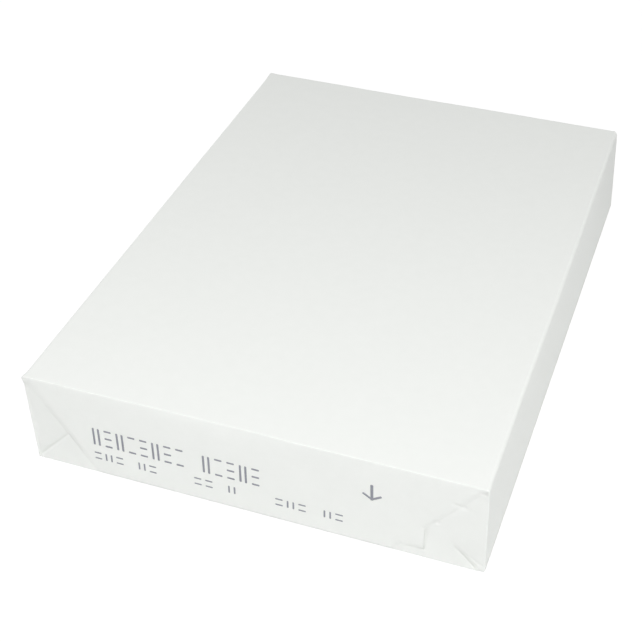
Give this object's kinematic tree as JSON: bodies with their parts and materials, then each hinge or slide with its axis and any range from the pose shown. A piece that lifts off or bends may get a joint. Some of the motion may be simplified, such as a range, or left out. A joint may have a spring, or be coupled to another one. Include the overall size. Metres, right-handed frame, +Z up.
{
  "type": "ream of paper",
  "caption": "Sealed ream of A4 copy paper in a plain white paper wrapper with envelope-folded ends; one closed pack that lies flat and feeds a printer or copier",
  "frame": {"origin": "middle of the underside, on the surface that the pack lies on", "axes": "+X across the sheets, to the right as seen facing the printed end; +Y along the sheets, from the printed end to the back end; +Z up"},
  "size_m": [0.2106, 0.2988, 0.0488],
  "materials": {
    "wrapping_paper": "matte"
  },
  "bodies": {
    "root": {"wrapped_ream": "wrapping_paper"}
  },
  "joints": []
}
